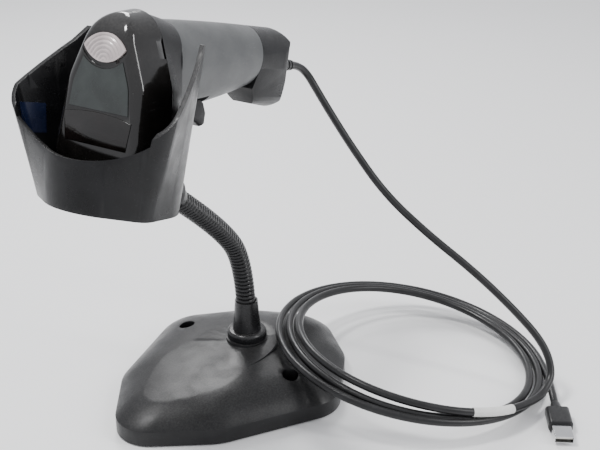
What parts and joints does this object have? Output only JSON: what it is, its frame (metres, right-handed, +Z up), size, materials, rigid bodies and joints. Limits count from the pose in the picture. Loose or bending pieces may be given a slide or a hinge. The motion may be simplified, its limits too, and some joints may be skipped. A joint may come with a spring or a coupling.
{
  "type": "handheld barcode scanner with gooseneck stand",
  "caption": "Corded pistol-grip imager resting nose down in the open cup of a gooseneck desk stand, with a weighted oval base and a hanked USB cable.",
  "frame": {"origin": "on the table, straight below the gooseneck's collar, on the underside of the base's rubber pad", "axes": "+Z up; -Y towards the front of the stand, where the scanner's nose and the cup are; +X to the right seen from the front bolt line. The base's two bolt holes lie along X. The gooseneck and the head are turned 10 degrees about +Z."},
  "size_m": [0.2905, 0.335, 0.2768],
  "materials": {
    "gloss_black": "glossy black moulding with fine scuffs",
    "grip_grey": "satin dark grey, fine spark texture",
    "satin_black": "satin black, light spark texture",
    "smoked_panel": "smoked translucent grey-green panel",
    "badge_brown": "brown-black gloss plate",
    "lens_pink": "milky silver-pink moulded lens with arc ridges",
    "window": "dark red tinted window",
    "optics": "clear coated lens",
    "board_green": "solder-masked circuit board",
    "steel": "zinc plated steel",
    "spring_steel": "spring wire",
    "engine_metal": "black anodised die casting",
    "led": "clear diode lens",
    "polyimide": "amber flexible circuit",
    "clear_plastic": "clear light pipe",
    "white_plastic": "natural nylon housing",
    "switch_black": "switch body",
    "neck_black": "black spiral-wound steel tube",
    "black_metal": "satin black coated metal",
    "base_black": "satin-matte black powder coat",
    "cast_weight": "plain cast ballast",
    "pad_rubber": "anti-slip rubber sheet",
    "nose_rubber": "soft rubber",
    "label_blue": "dark blue plate with a pale frame, blank",
    "magnet": "nickel plated magnet",
    "cable_black": "black PVC jacket",
    "usb_metal": "nickel plated shell"
  },
  "bodies": {
    "base": {"base_cover": "base_black", "base_weight": "cast_weight", "base_plate": "steel", "base_pad": "pad_rubber", "base_screws": "steel", "cord_low": "cable_black", "cord_coil": "cable_black", "cord_tail": "cable_black", "usb_plug_body": "cable_black", "usb_plug_shell": "usb_metal", "usb_tongue": "white_plastic"},
    "neck": {"neck_collar": "black_metal", "neck_ferrule": "black_metal", "neck_stud": "steel", "neck_nut": "steel", "gooseneck_lower": "neck_black", "cord_mid": "cable_black"},
    "cradle": {"gooseneck_upper": "neck_black", "neck_top_ferrule": "black_metal", "cup_shell": "satin_black", "cup_nose_pad": "nose_rubber", "cup_label_plate": "label_blue", "cup_magnet": "magnet", "cup_set_screws": "black_metal", "cord_high": "cable_black"},
    "trigger": {"trigger": "satin_black"},
    "scanner": {"top_cover": "gloss_black", "face_panel": "smoked_panel", "badge_plate": "badge_brown", "indicator_lens": "lens_pink", "head_housing": "satin_black", "nose_bezel": "satin_black", "scan_window": "window", "handle_back_shell": "grip_grey", "handle_front_shell": "grip_grey", "handle_end_cap": "satin_black", "trigger_pin": "steel", "trigger_spring": "spring_steel", "trigger_switch": "switch_black", "main_board": "board_green", "main_board_screws": "steel", "scan_engine": "engine_metal", "engine_lens": "optics", "illumination_leds": "led", "indicator_led": "led", "light_pipe": "clear_plastic", "beeper": "switch_black", "grip_board": "board_green", "grip_board_screws": "steel", "flex_cable": "polyimide", "cable_socket": "white_plastic", "cable_plug": "clear_plastic", "cable_boot": "cable_black", "cover_screws": "steel", "end_cap_screw": "steel"}
  },
  "joints": [
    {"name": "neck_swivel", "type": "hinge", "parent": "base", "child": "neck", "pos_m": [0, 0, 0.0304], "axis": [0, 0, 1], "range_deg": [-30, 30], "deforming": ["cord_low"]},
    {"name": "neck_bend", "type": "hinge", "parent": "neck", "child": "cradle", "pos_m": [0.00165, -0.00936, 0.098], "axis": [0.9848, 0.1736, 0], "range_deg": [-25, 25], "deforming": ["gooseneck_lower", "gooseneck_upper", "cord_mid"]},
    {"name": "scanner_lift", "type": "slide", "parent": "cradle", "child": "scanner", "axis": [-0.0449, 0.2549, 0.9659], "range_m": [0, 0.08], "deforming": ["cord_high"]},
    {"name": "trigger_pull", "type": "hinge", "parent": "scanner", "child": "trigger", "pos_m": [0.01354, -0.07677, 0.22649], "axis": [0.9848, 0.1736, 0], "range_deg": [0, 6], "stiffness_Nm_per_rad": 0.6, "springref_deg": -5.73, "deforming": ["trigger_spring"]}
  ]
}
